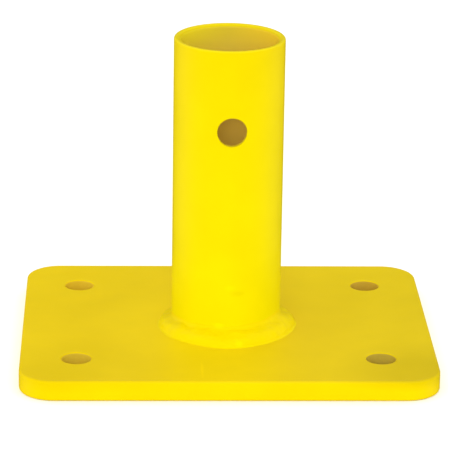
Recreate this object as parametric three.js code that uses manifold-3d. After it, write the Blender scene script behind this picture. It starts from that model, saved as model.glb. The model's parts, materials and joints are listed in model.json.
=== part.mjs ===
// Bolt-down steel safety bollard base: a short open-topped tube, welded all round onto a
// rectangular plate with four anchor holes, and cross-drilled near its rim for a locking pin.
//
// Millimetres, +Z up. The origin is the centre of the plate's underside, +X runs along the
// plate's width, and the pin hole runs along Y.

import * as THREE from 'three';
import { mergeVertices } from 'three/addons/utils/BufferGeometryUtils.js';
import Module from 'manifold-3d';

// Base plate
const PLATE_WIDTH = 190.5;
const PLATE_DEPTH = 152.4;
const PLATE_THICKNESS = 9.5;
const PLATE_CORNER_RADIUS = 16;
const PLATE_EDGE_ROUND = 1.2;
const PLATE_EDGE_STEPS = 3;
const PLATE_ARC_SEGMENTS = 12;

// Anchor holes through the plate, one near each corner
const ANCHOR_HOLE_DIAMETER = 13.5;
const ANCHOR_SPACING_X = 139;
const ANCHOR_SPACING_Y = 95.5;
const ANCHOR_HOLE_SEGMENTS = 36;

// Post tube, standing on the plate
const TUBE_OUTER_DIAMETER = 51.1;
const TUBE_WALL = 3.2;
const TUBE_HEIGHT = 138.4;
const TUBE_RIM_ROUND = 1;
const TUBE_RIM_STEPS = 4;
const TUBE_SEGMENTS = 72;

// Pin hole through both walls of the tube. The tube isn't welded on quite square, so the hole is
// turned a little away from Y, in radians.
const PIN_HOLE_DIAMETER = 13.5;
const PIN_HOLE_BELOW_RIM = 38;
const PIN_HOLE_TURN = (1.75 * Math.PI) / 180;
const PIN_HOLE_SEGMENTS = 36;

// Fillet weld round the foot of the tube, fatter at the front than at the back
const WELD_LEG_ON_TUBE = 5.4;
const WELD_LEG_ON_PLATE = 7;
const WELD_LEG_VARIATION = 2;
const WELD_GAP_TO_TUBE = 0.05;
const WELD_PROFILE_STEPS = 8;

// Finish
const YELLOW_POWDER_COAT = 0xfbd80a;
const COAT_ROUGHNESS = 0.4;

const wasm = await Module();
wasm.setup();

// Keeps only the positions of a closed geometry, with the shared vertices merged.
function mergePositions(geometry) {
  geometry.deleteAttribute('normal');
  geometry.deleteAttribute('uv');
  return mergeVertices(geometry);
}

function toSolid(geometry) {
  const merged = mergePositions(geometry);
  const mesh = new wasm.Mesh({
    numProp: 3,
    vertProperties: Float32Array.from(merged.attributes.position.array),
    triVerts: Uint32Array.from(merged.index.array),
  });
  return new wasm.Manifold(mesh);
}

function toGeometry(solid) {
  const mesh = solid.getMesh();
  const geometry = new THREE.BufferGeometry();
  geometry.setAttribute('position', new THREE.BufferAttribute(mesh.vertProperties, 3));
  geometry.setIndex(new THREE.BufferAttribute(mesh.triVerts, 1));
  geometry.computeVertexNormals();
  return geometry;
}

// Turns a profile of [radius, height] points round the Z axis.
function turned(profile, segments) {
  const points = profile.map(([radius, height]) => new THREE.Vector2(radius, height));
  return new THREE.LatheGeometry(points, segments).rotateX(Math.PI / 2);
}

function roundedRectangle(width, depth, radius) {
  const x = width / 2 - radius;
  const y = depth / 2 - radius;
  const shape = new THREE.Shape();
  shape.absarc(x, y, radius, 0, Math.PI / 2);
  shape.absarc(-x, y, radius, Math.PI / 2, Math.PI);
  shape.absarc(-x, -y, radius, Math.PI, 1.5 * Math.PI);
  shape.absarc(x, -y, radius, 1.5 * Math.PI, 2 * Math.PI);
  shape.closePath();
  return shape;
}

// Round cutter for a hole that runs right through a thickness centred on z = 0.
function drill(diameter, thickness, segments) {
  const radius = diameter / 2;
  return new THREE.CylinderGeometry(radius, radius, 1.5 * thickness, segments);
}

// Flat plate with rounded corners and edges, and an anchor hole near each corner.
function basePlateGeometry() {
  const slab = new THREE.ExtrudeGeometry(
    roundedRectangle(PLATE_WIDTH, PLATE_DEPTH, PLATE_CORNER_RADIUS), {
      depth: PLATE_THICKNESS - 2 * PLATE_EDGE_ROUND,
      curveSegments: PLATE_ARC_SEGMENTS,
      bevelThickness: PLATE_EDGE_ROUND,
      bevelSize: PLATE_EDGE_ROUND,
      bevelOffset: -PLATE_EDGE_ROUND,
      bevelSegments: PLATE_EDGE_STEPS,
    });
  let plate = toSolid(slab.translate(0, 0, PLATE_EDGE_ROUND));
  for (const x of [-ANCHOR_SPACING_X / 2, ANCHOR_SPACING_X / 2]) {
    for (const y of [-ANCHOR_SPACING_Y / 2, ANCHOR_SPACING_Y / 2]) {
      const cutter = drill(ANCHOR_HOLE_DIAMETER, PLATE_THICKNESS, ANCHOR_HOLE_SEGMENTS);
      cutter.rotateX(Math.PI / 2).translate(x, y, PLATE_THICKNESS / 2);
      plate = plate.subtract(toSolid(cutter));
    }
  }
  return toGeometry(plate);
}

// Quarter round in the plane of a turned profile, as [radius, height] points about a centre.
function quarterRound(centreRadius, centreHeight, startAngle) {
  const points = [];
  for (let step = 0; step <= TUBE_RIM_STEPS; step++) {
    const angle = startAngle + (Math.PI / 2) * (step / TUBE_RIM_STEPS);
    points.push([
      centreRadius + TUBE_RIM_ROUND * Math.cos(angle),
      centreHeight + TUBE_RIM_ROUND * Math.sin(angle),
    ]);
  }
  return points;
}

// Round tube from z = 0 up, open at the top, with a rounded rim and the pin hole through both
// walls.
function postTubeGeometry() {
  const outer = TUBE_OUTER_DIAMETER / 2;
  const inner = outer - TUBE_WALL;
  const roundHeight = TUBE_HEIGHT - TUBE_RIM_ROUND;
  const pipe = turned([
    [inner, 0],
    [outer, 0],
    ...quarterRound(outer - TUBE_RIM_ROUND, roundHeight, 0),
    ...quarterRound(inner + TUBE_RIM_ROUND, roundHeight, Math.PI / 2),
    [inner, 0],
  ], TUBE_SEGMENTS);
  const cutter = drill(PIN_HOLE_DIAMETER, TUBE_OUTER_DIAMETER, PIN_HOLE_SEGMENTS);
  cutter.rotateZ(PIN_HOLE_TURN).translate(0, 0, TUBE_HEIGHT - PIN_HOLE_BELOW_RIM);
  return toGeometry(toSolid(pipe).subtract(toSolid(cutter)));
}

// Leg of the weld along the plate, in the direction of an angle about Z.
function weldLegOnPlate(angle) {
  return WELD_LEG_ON_PLATE - WELD_LEG_VARIATION * Math.sin(angle);
}

// Ring of a convex fillet, from z = 0 up. It is turned with its mean leg along the plate, and
// each point then moves in or out to the leg at its own angle.
function weldBeadGeometry() {
  const inner = TUBE_OUTER_DIAMETER / 2 + WELD_GAP_TO_TUBE;
  const profile = [[inner, 0]];
  for (let step = 0; step <= WELD_PROFILE_STEPS; step++) {
    const turn = (step / WELD_PROFILE_STEPS) * (Math.PI / 2);
    const radius = inner + WELD_LEG_ON_PLATE * Math.cos(turn);
    profile.push([step === WELD_PROFILE_STEPS ? inner : radius, WELD_LEG_ON_TUBE * Math.sin(turn)]);
  }
  profile.push([inner, 0]);
  const geometry = mergePositions(turned(profile, TUBE_SEGMENTS));
  const position = geometry.attributes.position;
  for (let i = 0; i < position.count; i++) {
    const angle = Math.atan2(position.getY(i), position.getX(i));
    const radius = Math.hypot(position.getX(i), position.getY(i));
    const moved = inner + (radius - inner) * (weldLegOnPlate(angle) / WELD_LEG_ON_PLATE);
    position.setXY(i, moved * Math.cos(angle), moved * Math.sin(angle));
  }
  geometry.computeVertexNormals();
  return geometry;
}

function piece(name, geometry, z) {
  const coat = new THREE.MeshStandardMaterial({
    color: YELLOW_POWDER_COAT,
    roughness: COAT_ROUGHNESS,
    metalness: 0,
  });
  const mesh = new THREE.Mesh(geometry, coat);
  mesh.name = name;
  mesh.position.z = z;
  return mesh;
}

const bollardBase = new THREE.Group();
bollardBase.add(
  piece('base_plate', basePlateGeometry(), 0),
  piece('post_tube', postTubeGeometry(), PLATE_THICKNESS),
  piece('weld_bead', weldBeadGeometry(), PLATE_THICKNESS),
);

export default bollardBase;
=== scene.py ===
"""Looks for the bolt-down steel safety bollard base: a plate, a short tube and the weld round its foot.

Each CAD node is replaced by a fine mesh with rounded edges and drilled holes. The plate and the tube
keep the CAD's outer sizes. The weld is a hand-laid bead, a little larger than the CAD's plain ring.
One procedural powder coat covers all three; its colours hold painted light and shade. Lengths
are in metres, in the CAD frame: +Z up, and -Y towards the camera.
"""

import json
import math

import bpy
from mathutils import Matrix, Vector, geometry, noise


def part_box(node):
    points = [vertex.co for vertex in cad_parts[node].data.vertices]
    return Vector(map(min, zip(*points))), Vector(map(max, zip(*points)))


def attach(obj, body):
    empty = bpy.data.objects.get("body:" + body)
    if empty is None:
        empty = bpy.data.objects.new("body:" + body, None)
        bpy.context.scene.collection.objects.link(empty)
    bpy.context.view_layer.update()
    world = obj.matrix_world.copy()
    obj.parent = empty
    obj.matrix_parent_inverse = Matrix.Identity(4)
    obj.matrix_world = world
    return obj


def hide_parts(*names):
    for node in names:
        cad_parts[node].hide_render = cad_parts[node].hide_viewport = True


MM = 0.001

# Camera: a long lens 1.3 m away, a little left of the front, looking down by 19 degrees
CAMERA_PLACE = Vector((-48.6, -1235.1, 485.9)) * MM
CAMERA_HEADING = math.radians(2.21)
CAMERA_PITCH = math.radians(19.13)
CAMERA_ROLL = math.radians(0.88)
CAMERA_LENS = 224.5
CAMERA_SENSOR = 36
CAMERA_CLIP = (0.05, 50)

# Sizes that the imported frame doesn't say
PLATE_CORNER_RADIUS = 16 * MM
PLATE_EDGE_ROUND = 1.2 * MM
PLATE_MESH_STEP = 6 * MM
PLATE_MESH_MARGIN = 0.4 * PLATE_MESH_STEP
ANCHOR_HOLE_RADIUS = 6.75 * MM
ANCHOR_HOLE_ROUND = 0.8 * MM
TUBE_WALL = 3.2 * MM
TUBE_TURN = math.radians(1.75)
RIM_OUTER_ROUND = 1.0 * MM
RIM_INNER_ROUND = 2.0 * MM
PIN_HOLE_RADIUS = 6.75 * MM
PIN_HOLE_ROUND = 0.45 * MM
CORNER_STEPS = 24
HOLE_STEPS = 72
ROUND_STEPS = 5

# Grid of the tube: a square patch of fine cells round each pin hole, and coarser cells elsewhere.
# The patch's inner block, half as wide, becomes the hole.
PATCH_HALF = 11 * MM
PATCH_CELLS = 32
BLOCK_LOW = PATCH_CELLS // 4
BLOCK_HIGH = 3 * PATCH_CELLS // 4
SIDE_COLUMNS = 60
TUBE_ROW_STEP = 3 * MM

# Weld
WELD_COLUMNS = 320
WELD_SPAN_SAMPLES = 5
WELD_LUMP = 0.45 * MM  # how far its lumps stand out
WELD_WANDER = 0.5 * MM  # how far its edges wander
WELD_GRAIN = 6 * MM  # size of the lumps, and of the waves in its edges
WELD_LUMPY = (0.05, 1.04)  # the lumps lie between these shares of the leg on the plate
WELD_LUMP_FADE = 0.15  # and fade out over this share at both ends
# Legs of the weld, (out along the plate, up the tube) in mm, every 30 degrees round the tube, from
# the back by way of -X. It is full at the front and thin at the back.
WELD_LEGS = [
    (4.0, 3.2), (4.0, 3.2), (3.6, 3.0), (5.7, 3.9), (7.6, 4.7), (8.5, 5.0),
    (9.6, 5.2), (8.6, 5.5), (7.5, 6.4), (6.8, 5.2), (3.8, 3.8), (4.0, 3.3),
]
# Section of the weld, from the tube down to the plate: (share of the leg on the plate, share of
# the leg on the tube). It is a full bead, and the coat fills the creases along both its edges.
WELD_SECTION = [
    (-0.02, 1.60), (-0.005, 1.42), (0.015, 1.26), (0.06, 1.12), (0.16, 1.01), (0.36, 0.92),
    (0.62, 0.77), (0.83, 0.53), (0.95, 0.27), (1.00, 0.09), (1.06, 0.02), (1.15, -0.01),
    (1.25, -0.02),
]

# Light. A softbox is (name, degrees from the front towards +X, degrees up, side in metres, watts,
# colour, whether the coat mirrors it). The coat mirrors only the glints, the weaker part of a light.
WORLD_STRENGTH = 1.0
SOFTBOX_DISTANCE = 3.5
SOFTBOXES = [
    ("key_front", -6, 20, 1.2, 29.0, (1.0, 1.0, 0.9), False),
    ("key_glint", -6, 20, 1.2, 13.0, (1.0, 1.0, 0.8), True),
    ("fill_left", -75, 5, 1.5, 23.0, (1.0, 0.96, 0.8), False),
    ("glint_left", -75, 5, 1.5, 5.0, (1.0, 0.96, 0.4), True),
    ("fill_right", 75, 5, 1.5, 22.0, (0.94, 0.99, 0.8), False),
    ("glint_right", 75, 5, 1.5, 4.0, (0.94, 0.99, 0.4), True),
    ("fill_back", 180, 25, 1.5, 9.0, (1.0, 0.97, 0.8), False),
]
FLOOR_HALF = 6.0
FLOOR_GAP = 0.05 * MM
FLOOR_ALBEDO = 0.95
FLOOR_ROUGHNESS = 0.9
FLOOR_LIFT = 0.12

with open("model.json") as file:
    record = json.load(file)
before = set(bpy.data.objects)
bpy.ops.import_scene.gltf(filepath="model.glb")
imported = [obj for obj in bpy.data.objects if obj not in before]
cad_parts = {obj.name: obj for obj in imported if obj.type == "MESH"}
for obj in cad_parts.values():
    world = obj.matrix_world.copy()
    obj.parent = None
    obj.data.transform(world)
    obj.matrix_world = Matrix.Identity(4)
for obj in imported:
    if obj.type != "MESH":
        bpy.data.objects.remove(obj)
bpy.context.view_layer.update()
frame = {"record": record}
plate_low, plate_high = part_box("base_plate")
tube_low, tube_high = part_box("post_tube")
openings = {
    opening["name"]: opening["box_m"] for opening in frame["record"]["physics"]["openings"]
}
tube_outer = tube_high.x
tube_inner = tube_outer - TUBE_WALL


def opening_centre(name):
    low, high = openings[name]
    return (Vector(low) + Vector(high)) / 2


# ---------------------------------------------------------------- colours of the coat, with painted light and shade

# Linear colours, with painted light and shade in them: lighter towards the tube's foot, on the rim,
# on the weld's toe, on the plate's left and round the left of the foot; darker in the anchor holes and
# the pin holes; lit and shaded by side inside the tube, and paler deep inside it.
COAT_AND_LIGHT_ATTRIBUTE = "coat_colour_with_painted_light"
# The tube's outside is painted lighter towards its foot: painted light.
TUBE_TOP_COAT = Vector((0.712, 0.553, 0.0))
TUBE_FOOT_COAT = Vector((0.76, 0.65, 0.0))
# The rim's lighter colour is painted light.
RIM_PAINTED_LIGHT = Vector((0.755, 0.605, 0.008))
# Inside the tube: painted light and shade by side, lighter on the left, darker at the back and more
# orange on the right.
INSIDE_LEFT_COAT = Vector((0.77, 0.65, 0.018))
INSIDE_BACK_COAT = Vector((0.66, 0.515, 0.035))
INSIDE_RIGHT_COAT = Vector((0.81, 0.56, 0.03))
# Deep inside the tube the colour gets paler: painted light where the real light falls off with depth.
DEEP_PAINTED_LIGHT = Vector((0.90, 0.675, 0.14))
# Walls of the pin holes: darker, painted shade.
PIN_HOLE_PAINTED_SHADE = Vector((0.60, 0.45, 0.03))
# The plate's top is painted lighter on the left and darker on the right: painted light and shade.
PLATE_LEFT_PAINTED_LIGHT = Vector((0.775, 0.566, 0.002))
PLATE_RIGHT_PAINTED_SHADE = Vector((0.73, 0.544, 0.006))
PLATE_SIDE_COAT = Vector((0.77, 0.575, 0.0))
# The plate has this lighter colour round the foot of the tube, on the left: painted light over the
# shade that the tube and the weld cast there. It fades out between two distances from the tube's
# axis, and fades in with the share of the distance that is towards -X.
FOOT_PAINTED_LIGHT = Vector((0.835, 0.632, 0.002))
FOOT_REACH = (34 * MM, 62 * MM)
FOOT_SIDE = (-0.2, 1)
# The weld is painted lighter towards its toe: painted light.
WELD_TOP_COAT = Vector((0.78, 0.61, 0.0))
WELD_TOE_PAINTED_LIGHT = Vector((0.81, 0.645, 0.0))
# Walls of the anchor holes: darker and duller, painted shade, darkest in the right-hand holes.
HOLE_PAINTED_SHADES = {
    "anchor_hole_front_left": Vector((0.68, 0.49, 0.04)),
    "anchor_hole_back_left": Vector((0.73, 0.51, 0.035)),
    "anchor_hole_front_right": Vector((0.53, 0.39, 0.05)),
    "anchor_hole_back_right": Vector((0.58, 0.385, 0.045)),
}
WALL_MARGIN = 0.1 * MM  # a vertex this near a wall is on it
RIM_COAT_DEPTH = 0.5 * MM  # the rim's painted light goes this deep
RIM_ZONE = 5 * MM  # the pin holes' painted shade stays this far below the rim
DEEP_REACH = (3 * MM, 30 * MM)  # the inside gets paler, as painted light, between these depths below the rim
TOE_REACH = 5 * MM  # the painted light of the weld's toe fades out over this height


def share_between(value, low, high):
    return min(1, max(0, (value - low) / (high - low)))


def plate_coat_with_painted_light(point):
    flat = point.to_2d()
    # Anchor hole walls: painted shade.
    for name, coat in HOLE_PAINTED_SHADES.items():
        if (flat - opening_centre(name).to_2d()).length < ANCHOR_HOLE_RADIUS + WALL_MARGIN:
            return coat
    if point.z < plate_high.z - 0.5 * PLATE_EDGE_ROUND:
        return PLATE_SIDE_COAT
    # Painted light and shade: lighter on the left, darker on the right.
    across = share_between(point.x, plate_low.x, plate_high.x)
    coat = PLATE_LEFT_PAINTED_LIGHT.lerp(PLATE_RIGHT_PAINTED_SHADE, across)
    # Painted light round the left of the tube's foot.
    near_foot = 1 - share_between(flat.length, *FOOT_REACH)
    on_left = share_between(-point.x, FOOT_SIDE[0] * flat.length, FOOT_SIDE[1] * flat.length)
    return coat.lerp(FOOT_PAINTED_LIGHT, near_foot * on_left)


def tube_coat_with_painted_light(point):
    radius = point.to_2d().length
    # The rim: painted light.
    if point.z > tube_high.z - RIM_COAT_DEPTH:
        return RIM_PAINTED_LIGHT
    # Inside: painted light and shade by side, and paler deeper down as painted light.
    if radius < tube_inner + WALL_MARGIN:
        depth = share_between(tube_high.z - point.z, *DEEP_REACH)
        side = INSIDE_LEFT_COAT if point.x < 0 else INSIDE_RIGHT_COAT
        coat = INSIDE_BACK_COAT.lerp(side, abs(point.x) / tube_inner)
        return coat.lerp(DEEP_PAINTED_LIGHT, depth)
    # Pin holes' walls: painted shade.
    if radius < tube_outer - PIN_HOLE_ROUND and point.z < tube_high.z - RIM_ZONE:
        return PIN_HOLE_PAINTED_SHADE
    # Outside: lighter towards the foot, painted light.
    height = share_between(point.z, plate_high.z, tube_high.z)
    return TUBE_FOOT_COAT.lerp(TUBE_TOP_COAT, height)


def weld_coat_with_painted_light(point):
    # Lighter towards the toe: painted light.
    height = share_between(point.z, plate_high.z, plate_high.z + TOE_REACH)
    return WELD_TOE_PAINTED_LIGHT.lerp(WELD_TOP_COAT, height)


# ---------------------------------------------------------------- meshes

class Shell:
    """Vertices and faces of a closed mesh, while it is built."""

    def __init__(self):
        self.vertices = []
        self.faces = []

    def add(self, points):
        """Adds vertices, and gives their numbers."""
        first = len(self.vertices)
        self.vertices.extend(points)
        return list(range(first, len(self.vertices)))

    def bridge(self, first, second):
        """Quads between two closed loops of vertex numbers that have the same length."""
        count = len(first)
        for i in range(count):
            j = (i + 1) % count
            self.faces.append((first[i], first[j], second[j], second[i]))


def new_piece(name, shell, coat_and_light_at):
    """A piece with a mesh, and the colour of its coat at each vertex, painted light and shade included.
    """
    mesh = bpy.data.meshes.new(name)
    mesh.from_pydata([tuple(v) for v in shell.vertices], [], shell.faces)
    mesh.validate()
    mesh.update()
    colours = mesh.color_attributes.new(COAT_AND_LIGHT_ATTRIBUTE, "FLOAT_COLOR", "POINT")
    for vertex, entry in zip(mesh.vertices, colours.data):
        entry.color = (*coat_and_light_at(vertex.co), 1)
    mesh.shade_smooth()
    piece = bpy.data.objects.new(name, mesh)
    bpy.context.scene.collection.objects.link(piece)
    weighted = piece.modifiers.new("weighted_normals", "WEIGHTED_NORMAL")
    weighted.weight = 50
    weighted.mode = "FACE_AREA"
    return piece


def edge_round(radius):
    """(inset, drop) pairs of a quarter round, from the flat face over to the side wall."""
    pairs = []
    for k in range(ROUND_STEPS + 1):
        turn = math.pi / 2 * k / ROUND_STEPS
        pairs.append((radius * (1 - math.sin(turn)), radius * (1 - math.cos(turn))))
    return pairs


def rounded_outline(half_x, half_y, radius, side_pieces):
    """Counter-clockwise points of a rounded rectangle, with points along its straight sides too."""
    arcs = []
    for quarter, (sign_x, sign_y) in enumerate([(1, 1), (-1, 1), (-1, -1), (1, -1)]):
        centre = Vector((sign_x * (half_x - radius), sign_y * (half_y - radius)))
        arc = []
        for k in range(CORNER_STEPS + 1):
            angle = math.pi / 2 * (quarter + k / CORNER_STEPS)
            arc.append(centre + radius * Vector((math.cos(angle), math.sin(angle))))
        arcs.append(arc)
    points = []
    for quarter, arc in enumerate(arcs):
        points += arc
        following = arcs[(quarter + 1) % len(arcs)]
        pieces = side_pieces[quarter % 2]
        points += [arc[-1].lerp(following[0], k / pieces) for k in range(1, pieces)]
    return points


def circle_outline(centre, radius):
    """Clockwise points of a round hole."""
    points = []
    for k in range(HOLE_STEPS):
        angle = -2 * math.pi * k / HOLE_STEPS
        points.append(centre + radius * Vector((math.cos(angle), math.sin(angle))))
    return points


def inside_spots(half_x, half_y, hole_centres, hole_radius):
    """Even points of a rounded rectangle, clear of its edge and of its round holes."""
    count_x = round(2 * half_x / PLATE_MESH_STEP)
    count_y = round(2 * half_y / PLATE_MESH_STEP)
    spots = []
    for i in range(1, count_x):
        for j in range(1, count_y):
            spot = Vector((half_x * (2 * i / count_x - 1), half_y * (2 * j / count_y - 1)))
            from_corner = Vector((
                max(0, abs(spot.x) - half_x + PLATE_CORNER_RADIUS),
                max(0, abs(spot.y) - half_y + PLATE_CORNER_RADIUS),
            )).length
            clear_of_corner = from_corner < PLATE_CORNER_RADIUS - PLATE_MESH_MARGIN
            gaps = [(spot - c).length - hole_radius for c in hole_centres]
            if clear_of_corner and min(gaps) > PLATE_MESH_MARGIN:
                spots.append(spot)
    return spots


def cap_triangles(loops, hole_centres, hole_radius):
    """Even triangles of a flat cap: (points, triangles) between an outer loop and round holes."""
    points, edges = [], []
    for loop in loops:
        start = len(points)
        points += loop
        edges += [(start + i, start + (i + 1) % len(loop)) for i in range(len(loop))]
    half_x = max(p.x for p in loops[0])
    half_y = max(p.y for p in loops[0])
    points += inside_spots(half_x, half_y, hole_centres, hole_radius)
    flat, _, triangles, _, _, _ = geometry.delaunay_2d_cdt(points, edges, [], 1, 1e-7)
    kept = []
    for triangle in triangles:
        middle = sum((flat[i] for i in triangle), Vector((0, 0))) / 3
        if all((middle - c).length > hole_radius for c in hole_centres):
            kept.append(triangle)
    return flat, kept


def add_cap(shell, layer, height, cap_points, triangles, face_down):
    """A flat cap, which reuses its loops' own vertices and adds the points inside."""
    numbers = [number for loop in layer for number in loop]
    numbers += shell.add(Vector((p.x, p.y, height)) for p in cap_points[len(numbers):])
    for triangle in triangles:
        corners = [numbers[i] for i in triangle]
        shell.faces.append(tuple(reversed(corners)) if face_down else tuple(corners))


def make_base_plate():
    half_x, half_y = plate_high.x, plate_high.y
    centres = [
        opening_centre(name).to_2d() for name in sorted(openings) if name.startswith("anchor_hole")
    ]
    sides = (
        round(2 * (half_x - PLATE_CORNER_RADIUS) / PLATE_MESH_STEP),
        round(2 * (half_y - PLATE_CORNER_RADIUS) / PLATE_MESH_STEP),
    )

    def loops_at(edge_inset, hole_inset):
        outer = rounded_outline(
            half_x - edge_inset, half_y - edge_inset, PLATE_CORNER_RADIUS - edge_inset, sides)
        return [outer] + [circle_outline(c, ANCHOR_HOLE_RADIUS + hole_inset) for c in centres]

    # Each layer holds every loop once, from the top cap's edges down to the bottom cap's.
    shell = Shell()
    rounds = list(zip(edge_round(PLATE_EDGE_ROUND), edge_round(ANCHOR_HOLE_ROUND)))
    levels = [(edge, hole, plate_high.z, -1) for edge, hole in rounds]
    levels += [(edge, hole, plate_low.z, 1) for edge, hole in reversed(rounds)]
    layers = []
    for edge, hole, face, inward in levels:
        layer = []
        for index, loop in enumerate(loops_at(edge[0], hole[0])):
            height = face + inward * (hole if index else edge)[1]
            layer.append(shell.add(Vector((p.x, p.y, height)) for p in loop))
        layers.append(layer)
    for upper, lower in zip(layers, layers[1:]):
        for first, second in zip(lower, upper):
            shell.bridge(first, second)

    cap_points, triangles = cap_triangles(
        loops_at(PLATE_EDGE_ROUND, ANCHOR_HOLE_ROUND), centres,
        ANCHOR_HOLE_RADIUS + ANCHOR_HOLE_ROUND)
    add_cap(shell, layers[0], plate_high.z, cap_points, triangles, False)
    add_cap(shell, layers[-1], plate_low.z, cap_points, triangles, True)
    return new_piece("base_plate_coated", shell, plate_coat_with_painted_light)


def tube_columns(radius):
    """Angles of the tube's grid columns, counter-clockwise from the front's patch."""
    chords = [PATCH_HALF * (2 * i / PATCH_CELLS - 1) for i in range(PATCH_CELLS + 1)]
    patch = [math.asin(x / radius) for x in chords]
    edge = patch[-1]
    side = [edge + (math.pi - 2 * edge) * i / SIDE_COLUMNS for i in range(1, SIDE_COLUMNS)]
    half = patch + side
    return half + [angle + math.pi for angle in half]


def tube_rows(hole_z):
    """Heights of the tube's grid rows up to the rim's round, and the patch's first row."""
    low, high = hole_z - PATCH_HALF, hole_z + PATCH_HALF
    rim = tube_high.z - max(RIM_OUTER_ROUND, RIM_INNER_ROUND)
    below = round((low - tube_low.z) / TUBE_ROW_STEP)
    above = round((rim - high) / TUBE_ROW_STEP)
    rows = [tube_low.z + (low - tube_low.z) * i / below for i in range(below)]
    rows += [low + 2 * PATCH_HALF * i / PATCH_CELLS for i in range(PATCH_CELLS)]
    rows += [high + (rim - high) * i / above for i in range(above + 1)]
    return rows, below


def warp_round_hole(x, z, hole_radius):
    """Moves a point of the square patch so that the patch's inner block becomes a round hole."""
    reach = max(abs(x), abs(z))
    block = PATCH_HALF / 2
    inside_block = reach < 0.99 * block  # and so in no face
    if inside_block or reach >= PATCH_HALF:
        return x, z
    share = (reach - block) / (PATCH_HALF - block)
    direction = Vector((x, z)).normalized()
    point = direction * hole_radius * (1 - share) + Vector((x, z)) / reach * PATCH_HALF * share
    return point.x, point.y


def on_tube(radius, angle, height):
    """A point on a cylinder. The angle starts at the front, -Y, and turns towards +X."""
    return Vector((radius * math.sin(angle), -radius * math.cos(angle), height))


def tube_spot(radius, angle, height, hole_z):
    """A point of the tube's grid, which is warped round each pin hole."""
    spot = on_tube(radius, angle, height)
    x, z = radius * math.sin(angle), height - hole_z
    if abs(x) >= PATCH_HALF or abs(z) >= PATCH_HALF:
        return spot
    x, z = warp_round_hole(x, z, PIN_HOLE_RADIUS + PIN_HOLE_ROUND)
    y = math.copysign(math.sqrt(radius ** 2 - x ** 2), spot.y)
    return Vector((x, y, hole_z + z))


def tube_wall(shell, radius, outward, hole_z):
    """One wall of the tube with its two pin holes: its grid's vertex numbers and hole loops."""
    columns = tube_columns(radius)
    rows, first_patch_row = tube_rows(hole_z)
    grid = []
    for height in rows:
        grid.append(shell.add(tube_spot(radius, angle, height, hole_z) for angle in columns))
    low, high = first_patch_row + BLOCK_LOW, first_patch_row + BLOCK_HIGH
    blocks = [(start + BLOCK_LOW, start + BLOCK_HIGH) for start in (0, PATCH_CELLS + SIDE_COLUMNS)]
    for row in range(len(rows) - 1):
        for column in range(len(columns)):
            if low <= row < high and any(left <= column < right for left, right in blocks):
                continue
            after = (column + 1) % len(columns)
            quad = (grid[row][column], grid[row][after], grid[row + 1][after], grid[row + 1][column])
            shell.faces.append(quad if outward else tuple(reversed(quad)))

    loops = []
    for left, right in blocks:
        loop = [grid[low][c] for c in range(left, right)]
        loop += [grid[r][right] for r in range(low, high)]
        loop += [grid[high][c] for c in range(right, left, -1)]
        loop += [grid[r][left] for r in range(high, low, -1)]
        loops.append(loop)
    return grid, loops


def add_pin_hole(shell, outer_loop, inner_loop, hole_z):
    """The wall of one pin hole, with a small round at both ends."""
    corners = [shell.vertices[number] for number in outer_loop]
    side = math.copysign(1, corners[0].y)
    turns = [math.atan2(corner.z - hole_z, corner.x) for corner in corners]
    rounds = edge_round(PIN_HOLE_ROUND)[1:]
    previous = outer_loop
    for radius, inward, pairs in ((tube_outer, -1, rounds), (tube_inner, 1, rounds[::-1])):
        for inset, drop in pairs:
            points = []
            for turn in turns:
                x = (PIN_HOLE_RADIUS + inset) * math.cos(turn)
                z = (PIN_HOLE_RADIUS + inset) * math.sin(turn)
                y = math.sqrt(radius ** 2 - x ** 2) + inward * drop
                points.append(Vector((x, side * y, hole_z + z)))
            ring = shell.add(points)
            shell.bridge(previous, ring)
            previous = ring
    shell.bridge(previous, inner_loop)


def add_rim(shell, outer_row, inner_row):
    """The rim, rounded over on both sides."""
    rings = [(tube_outer, -inset, drop) for inset, drop in reversed(edge_round(RIM_OUTER_ROUND))]
    rings += [(tube_inner, inset, drop) for inset, drop in edge_round(RIM_INNER_ROUND)[:-1]]
    previous = outer_row
    for wall, shift, drop in rings:
        height = tube_high.z - drop
        ring = shell.add(on_tube(wall + shift, angle, height) for angle in tube_columns(wall))
        shell.bridge(previous, ring)
        previous = ring
    shell.bridge(previous, inner_row)


def make_post_tube():
    shell = Shell()
    hole_z = opening_centre("pin_hole").z
    outer_grid, outer_loops = tube_wall(shell, tube_outer, True, hole_z)
    inner_grid, inner_loops = tube_wall(shell, tube_inner, False, hole_z)
    for outer_loop, inner_loop in zip(outer_loops, inner_loops):
        add_pin_hole(shell, outer_loop, inner_loop, hole_z)
    add_rim(shell, outer_grid[-1], inner_grid[-1])
    shell.bridge(inner_grid[0], outer_grid[0])

    # The post isn't welded on quite square, so its pin holes are turned a little.
    turn = Matrix.Rotation(TUBE_TURN, 3, "Z")
    shell.vertices = [turn @ v for v in shell.vertices]
    return new_piece("post_tube_coated", shell, tube_coat_with_painted_light)


def catmull_rom(before, start, end, after, t):
    """Point at share t of the way from start to end, on the smooth curve through all four."""
    return 0.5 * (
        2 * start + (end - before) * t
        + (2 * before - 5 * start + 4 * end - after) * t ** 2
        + (3 * start - before - 3 * end + after) * t ** 3)


def spline(points, samples):
    """Smooth curve through all points but the first and last, which only steer its ends."""
    curve = []
    for four in zip(points, points[1:], points[2:], points[3:]):
        curve += [catmull_rom(*four, k / samples) for k in range(samples)]
    curve.append(points[-2])
    return curve


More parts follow.
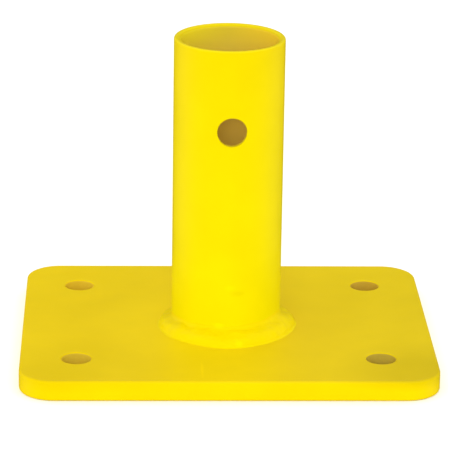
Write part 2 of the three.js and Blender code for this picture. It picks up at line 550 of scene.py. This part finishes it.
def weld_legs(angle):
    """Legs of the weld along the plate and up the tube, at an angle from the front, -Y."""
    count = len(WELD_LEGS)
    place = (angle / (2 * math.pi) + 0.5) * count
    start = math.floor(place)
    around = [Vector(WELD_LEGS[(start + k) % count]) * MM for k in (-1, 0, 1, 2)]
    foot = on_tube(tube_outer, angle, 0)
    wander = Vector((
        noise.noise(foot / WELD_GRAIN), noise.noise((foot + tube_high) / WELD_GRAIN)))
    return catmull_rom(*around, place - start) + WELD_WANDER * wander


def weld_lump(along, spot):
    """How far the weld's lumps stand out at a spot. They fade out towards both its edges."""
    low, high = WELD_LUMPY
    fade = min(1, (high - along) / WELD_LUMP_FADE) * min(1, (along - low) / WELD_LUMP_FADE)
    lump = noise.noise(spot / WELD_GRAIN) + 0.5 * noise.noise(spot / (WELD_GRAIN / 2))
    return WELD_LUMP * lump * fade


def make_weld_bead():
    section = spline([Vector(p) for p in WELD_SECTION], WELD_SPAN_SAMPLES)
    # The section closes inside the steel, behind the tube's wall and below the plate's top.
    hidden_corner = Vector((-0.02, -0.02))
    shell = Shell()
    rings = []
    for column in range(WELD_COLUMNS):
        angle = 2 * math.pi * column / WELD_COLUMNS
        on_plate, on_tube_leg = weld_legs(angle)
        points = []
        for along, up in section + [hidden_corner]:
            out, rise = along * on_plate, up * on_tube_leg
            if WELD_LUMPY[0] < along < WELD_LUMPY[1] and up > 0:
                lump = weld_lump(along, on_tube(tube_outer + out, angle, rise))
                out += lump * along
                rise += lump * up
            points.append(on_tube(tube_outer + out, angle, plate_high.z + rise))
        rings.append(shell.add(points))
    for column, ring in enumerate(rings):
        shell.bridge(ring, rings[(column + 1) % WELD_COLUMNS])
    return new_piece("weld_bead_coated", shell, weld_coat_with_painted_light)


# ---------------------------------------------------------------- powder coat

# Each noise is (scale, detail, roughness). The cloud varies the tone and the gloss, and the other two
# are bumps.
CLOUD = (45, 3, 0.5)
CLOUD_SPAN = (0.3, 0.7)
CLOUD_TONES = (0.975, 1.025)
COAT_ROUGHNESS = (0.35, 0.39)
WAVINESS = (110, 1, 0.5)
WAVINESS_HEIGHT = 0.03 * MM
ORANGE_PEEL = (620, 1.5, 0.4)
ORANGE_PEEL_HEIGHT = 0.006 * MM
# The coat's faint reflections are yellow, like the coat.
COAT_REFLECTION = (1.0, 0.9, 0.12, 1)
# Painted light and shade, and marks in the coat: (centre, how much it is squeezed along each axis,
# size, tone). The first three are broad patches of painted light and shade, and the rest are small:
# two marks in the coat, two painted highlights on the weld and a painted reflection on the plate.
PAINTED_LIGHT_AND_MARKS = [
    # Painted light: a broad lighter patch on the tube's front, just above the weld.
    (Vector((-3.5, -25.5, 21.0)) * MM, (1.1, 1, 0.75), 24 * MM, 1.055),
    # Painted shade at the plate's front right and front left corners.
    (Vector((86.0, -66.0, 9.5)) * MM, (1, 1, 8), 42 * MM, 0.86),
    (Vector((-80.0, -70.0, 9.5)) * MM, (1, 1, 8), 50 * MM, 0.93),
    (Vector((4.4, -25.2, 32.4)) * MM, (0.8, 0.8, 1.9), 3.6 * MM, 0.93),
    (Vector((0.6, -25.5, 35.2)) * MM, (0.8, 0.8, 1.5), 2.6 * MM, 1.05),
    # Painted highlights: a bright spot at the weld's crease and one on its toe, at the front.
    (Vector((-4.2, -25.2, 16.8)) * MM, (0.7, 0.7, 1.6), 2.4 * MM, 1.1),
    (Vector((5.0, -34.0, 11.0)) * MM, (1, 1, 1), 2.4 * MM, 1.1),
    # Painted reflection: a thin light streak on the plate in front of the tube.
    (Vector((-12.6, -61.0, 9.5)) * MM, (1, 0.075, 1), 0.9 * MM, 1.06),
]
PAINTED_LIGHT_AND_MARK_CORE = 0.3  # share of its size over which it has its full tone


class Nodes:
    """Short calls for a material's node tree."""

    def __init__(self, material):
        material.use_nodes = True
        self.tree = material.node_tree
        self.tree.nodes.clear()

    def fill(self, socket, value):
        if isinstance(value, bpy.types.NodeSocket):
            self.tree.links.new(value, socket)
        else:
            socket.default_value = value

    def add(self, kind, **inputs):
        node = self.tree.nodes.new(kind)
        for name, value in inputs.items():
            self.fill(node.inputs[name.replace("_", " ")], value)
        return node

    def noise(self, coordinates, scale, detail, roughness):
        node = self.add("ShaderNodeTexNoise", Vector=coordinates, Scale=scale,
                        Detail=detail, Roughness=roughness)
        return node.outputs["Fac"]

    def remap(self, value, low, high, new_low, new_high):
        node = self.add("ShaderNodeMapRange", Value=value, From_Min=low, From_Max=high,
                        To_Min=new_low, To_Max=new_high)
        return node.outputs["Result"]

    def multiply(self, first, second):
        node = self.add("ShaderNodeMath")
        node.operation = "MULTIPLY"
        self.fill(node.inputs[0], first)
        self.fill(node.inputs[1], second)
        return node.outputs[0]

    def vector_math(self, operation, *values):
        node = self.add("ShaderNodeVectorMath")
        node.operation = operation
        for socket, value in zip(node.inputs, values):
            self.fill(socket, value)
        return node.outputs["Value" if operation == "LENGTH" else "Vector"]

    def bump(self, height, distance, **inputs):
        node = self.add("ShaderNodeBump", Height=height, Distance=distance, Strength=1, **inputs)
        return node.outputs["Normal"]

    def surface(self, shader):
        self.add("ShaderNodeOutputMaterial", Surface=shader.outputs["BSDF"])


def painted_light_and_mark_tone(nodes, place, centre, squeeze, size, tone):
    offset = nodes.vector_math("SUBTRACT", place, centre)
    squeezed = nodes.vector_math("MULTIPLY", offset, squeeze)
    distance = nodes.vector_math("LENGTH", squeezed)
    return nodes.remap(distance, PAINTED_LIGHT_AND_MARK_CORE * size, size, tone, 1)


def powder_coat():
    material = bpy.data.materials.new("yellow_powder_coat")
    nodes = Nodes(material)
    place = nodes.add("ShaderNodeTexCoord").outputs["Object"]
    coat = nodes.add("ShaderNodeAttribute")
    coat.attribute_name = COAT_AND_LIGHT_ATTRIBUTE
    cloud = nodes.noise(place, *CLOUD)
    tone = nodes.remap(cloud, *CLOUD_SPAN, *CLOUD_TONES)
    # Painted light and shade, and the coat's marks, scale the tone.
    for painted_light_and_mark in PAINTED_LIGHT_AND_MARKS:
        tone = nodes.multiply(tone, painted_light_and_mark_tone(nodes, place, *painted_light_and_mark))
    broad = nodes.bump(nodes.noise(place, *WAVINESS), WAVINESS_HEIGHT)
    nodes.surface(nodes.add(
        "ShaderNodeBsdfPrincipled",
        Base_Color=nodes.vector_math("MULTIPLY", coat.outputs["Color"], tone),
        Roughness=nodes.remap(cloud, *CLOUD_SPAN, *COAT_ROUGHNESS),
        IOR=1.5,
        Specular_IOR_Level=0.1,
        Specular_Tint=COAT_REFLECTION,
        Normal=nodes.bump(nodes.noise(place, *ORANGE_PEEL), ORANGE_PEEL_HEIGHT, Normal=broad),
    ))
    return material


# ---------------------------------------------------------------- stage

def pale_floor():
    """Matt, and a little brighter where it is seen directly, so that it runs into the background."""
    material = bpy.data.materials.new("pale_floor")
    nodes = Nodes(material)
    seen = nodes.add("ShaderNodeLightPath").outputs["Is Camera Ray"]
    nodes.surface(nodes.add(
        "ShaderNodeBsdfPrincipled",
        Base_Color=(FLOOR_ALBEDO, FLOOR_ALBEDO, FLOOR_ALBEDO, 1),
        Roughness=FLOOR_ROUGHNESS,
        Specular_IOR_Level=0.0,
        Emission_Color=(1, 1, 1, 1),
        Emission_Strength=nodes.multiply(seen, FLOOR_LIFT),
    ))
    return material


def make_floor():
    corners = [(x * FLOOR_HALF, y * FLOOR_HALF, 0) for x, y in ((-1, -1), (1, -1), (1, 1), (-1, 1))]
    mesh = bpy.data.meshes.new("floor")
    mesh.from_pydata(corners, [], [(0, 1, 2, 3)])
    mesh.materials.append(pale_floor())
    floor = bpy.data.objects.new("floor", mesh)
    floor.location.z = plate_low.z - FLOOR_GAP
    floor.visible_glossy = False
    bpy.context.scene.collection.objects.link(floor)


def make_world():
    """A bright even surround, hardly mirrored by the coat."""
    world = bpy.data.worlds.new("studio")
    bpy.context.scene.world = world
    world.use_nodes = True
    world.cycles_visibility.glossy = False
    background = world.node_tree.nodes["Background"]
    background.inputs["Color"].default_value = (1, 1, 1, 1)
    background.inputs["Strength"].default_value = WORLD_STRENGTH


def make_lights():
    """Softboxes on a sphere about the middle of the object, all turned towards it."""
    target = Vector((0, 0, tube_high.z / 2))
    for name, heading, height, size, power, colour, mirrored in SOFTBOXES:
        around, up = math.radians(heading), math.radians(height)
        direction = Vector((
            math.cos(up) * math.sin(around), -math.cos(up) * math.cos(around), math.sin(up)))
        light = bpy.data.lights.new(name, "AREA")
        light.shape = "RECTANGLE"
        light.size = light.size_y = size
        light.energy = power
        light.color = colour
        lamp = bpy.data.objects.new(name, light)
        lamp.visible_glossy = mirrored
        bpy.context.scene.collection.objects.link(lamp)
        lamp.location = target + SOFTBOX_DISTANCE * direction
        lamp.rotation_mode = "QUATERNION"
        lamp.rotation_quaternion = (-direction).to_track_quat("-Z", "Y")


def make_camera():
    camera = bpy.data.cameras.new("camera")
    camera.lens = CAMERA_LENS
    camera.sensor_width = CAMERA_SENSOR
    camera.clip_start, camera.clip_end = CAMERA_CLIP
    holder = bpy.data.objects.new("camera", camera)
    turn = (
        Matrix.Rotation(-CAMERA_HEADING, 4, "Z")
        @ Matrix.Rotation(math.pi / 2 - CAMERA_PITCH, 4, "X")
        @ Matrix.Rotation(CAMERA_ROLL, 4, "Z")
    )
    holder.matrix_world = Matrix.Translation(CAMERA_PLACE) @ turn
    bpy.context.scene.collection.objects.link(holder)
    bpy.context.scene.camera = holder


make_camera()
make_world()
make_lights()
make_floor()
bpy.context.scene.view_settings.view_transform = "Standard"

coat = powder_coat()
for node, make in (
    ("base_plate", make_base_plate),
    ("post_tube", make_post_tube),
    ("weld_bead", make_weld_bead),
):
    piece = make()
    piece.data.materials.append(coat)
    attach(piece, "root")
    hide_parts(node)

bpy.context.view_layer.update()
